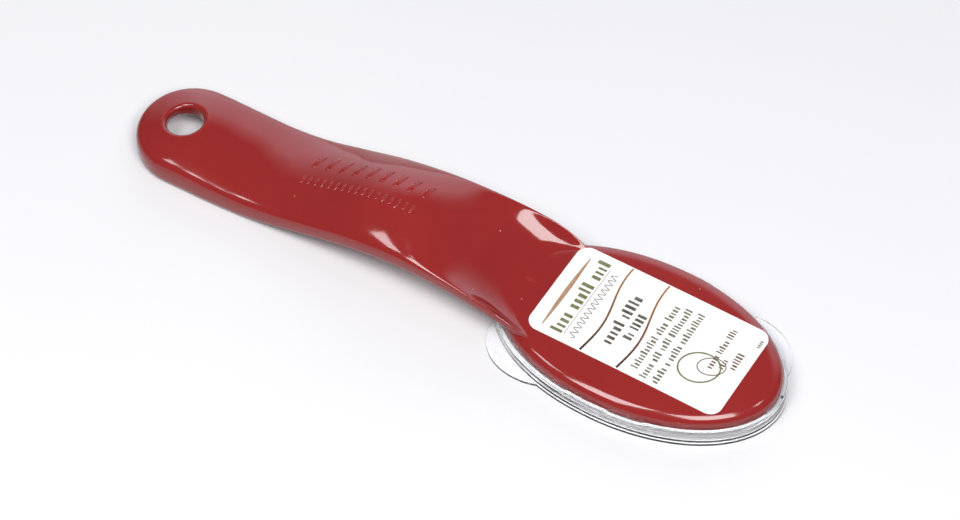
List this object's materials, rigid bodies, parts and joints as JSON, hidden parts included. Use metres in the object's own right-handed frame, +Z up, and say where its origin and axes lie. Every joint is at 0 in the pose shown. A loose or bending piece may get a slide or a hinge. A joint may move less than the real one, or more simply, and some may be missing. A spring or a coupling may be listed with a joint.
{
  "type": "foot file",
  "caption": "Foot file with a long curved moulded handle, an oval paddle carrying a stainless rasp blade underneath, and a clear pull-off cover.",
  "frame": {"origin": "centre of the whole object's box, at the level of the surface that it lies on", "axes": "+X along the object from the handle's end to the paddle's tip, +Y across it, +Z up, the way the label faces"},
  "size_m": [0.2594, 0.0684, 0.0281],
  "materials": {
    "red_body": "moulded red plastic with a high gloss",
    "red_back": "moulded red plastic, gloss, a little duller than the top",
    "red_ring": "moulded red plastic, satin",
    "rasp_steel": "etched stainless sheet, satin",
    "clear_cover": "clear moulded plastic, polished",
    "label_film": "printed self-adhesive film, semi-matte"
  },
  "bodies": {
    "file": {"handle_body": "red_body", "handle_back": "red_back", "blade_ring": "red_ring", "rasp_blade": "rasp_steel", "label": "label_film"},
    "cover": {"protective_cover": "clear_cover"}
  },
  "joints": [
    {"name": "cover_pull", "type": "slide", "parent": "cover", "child": "file", "axis": [0, 0, 1], "range_m": [0, 0.04]}
  ]
}
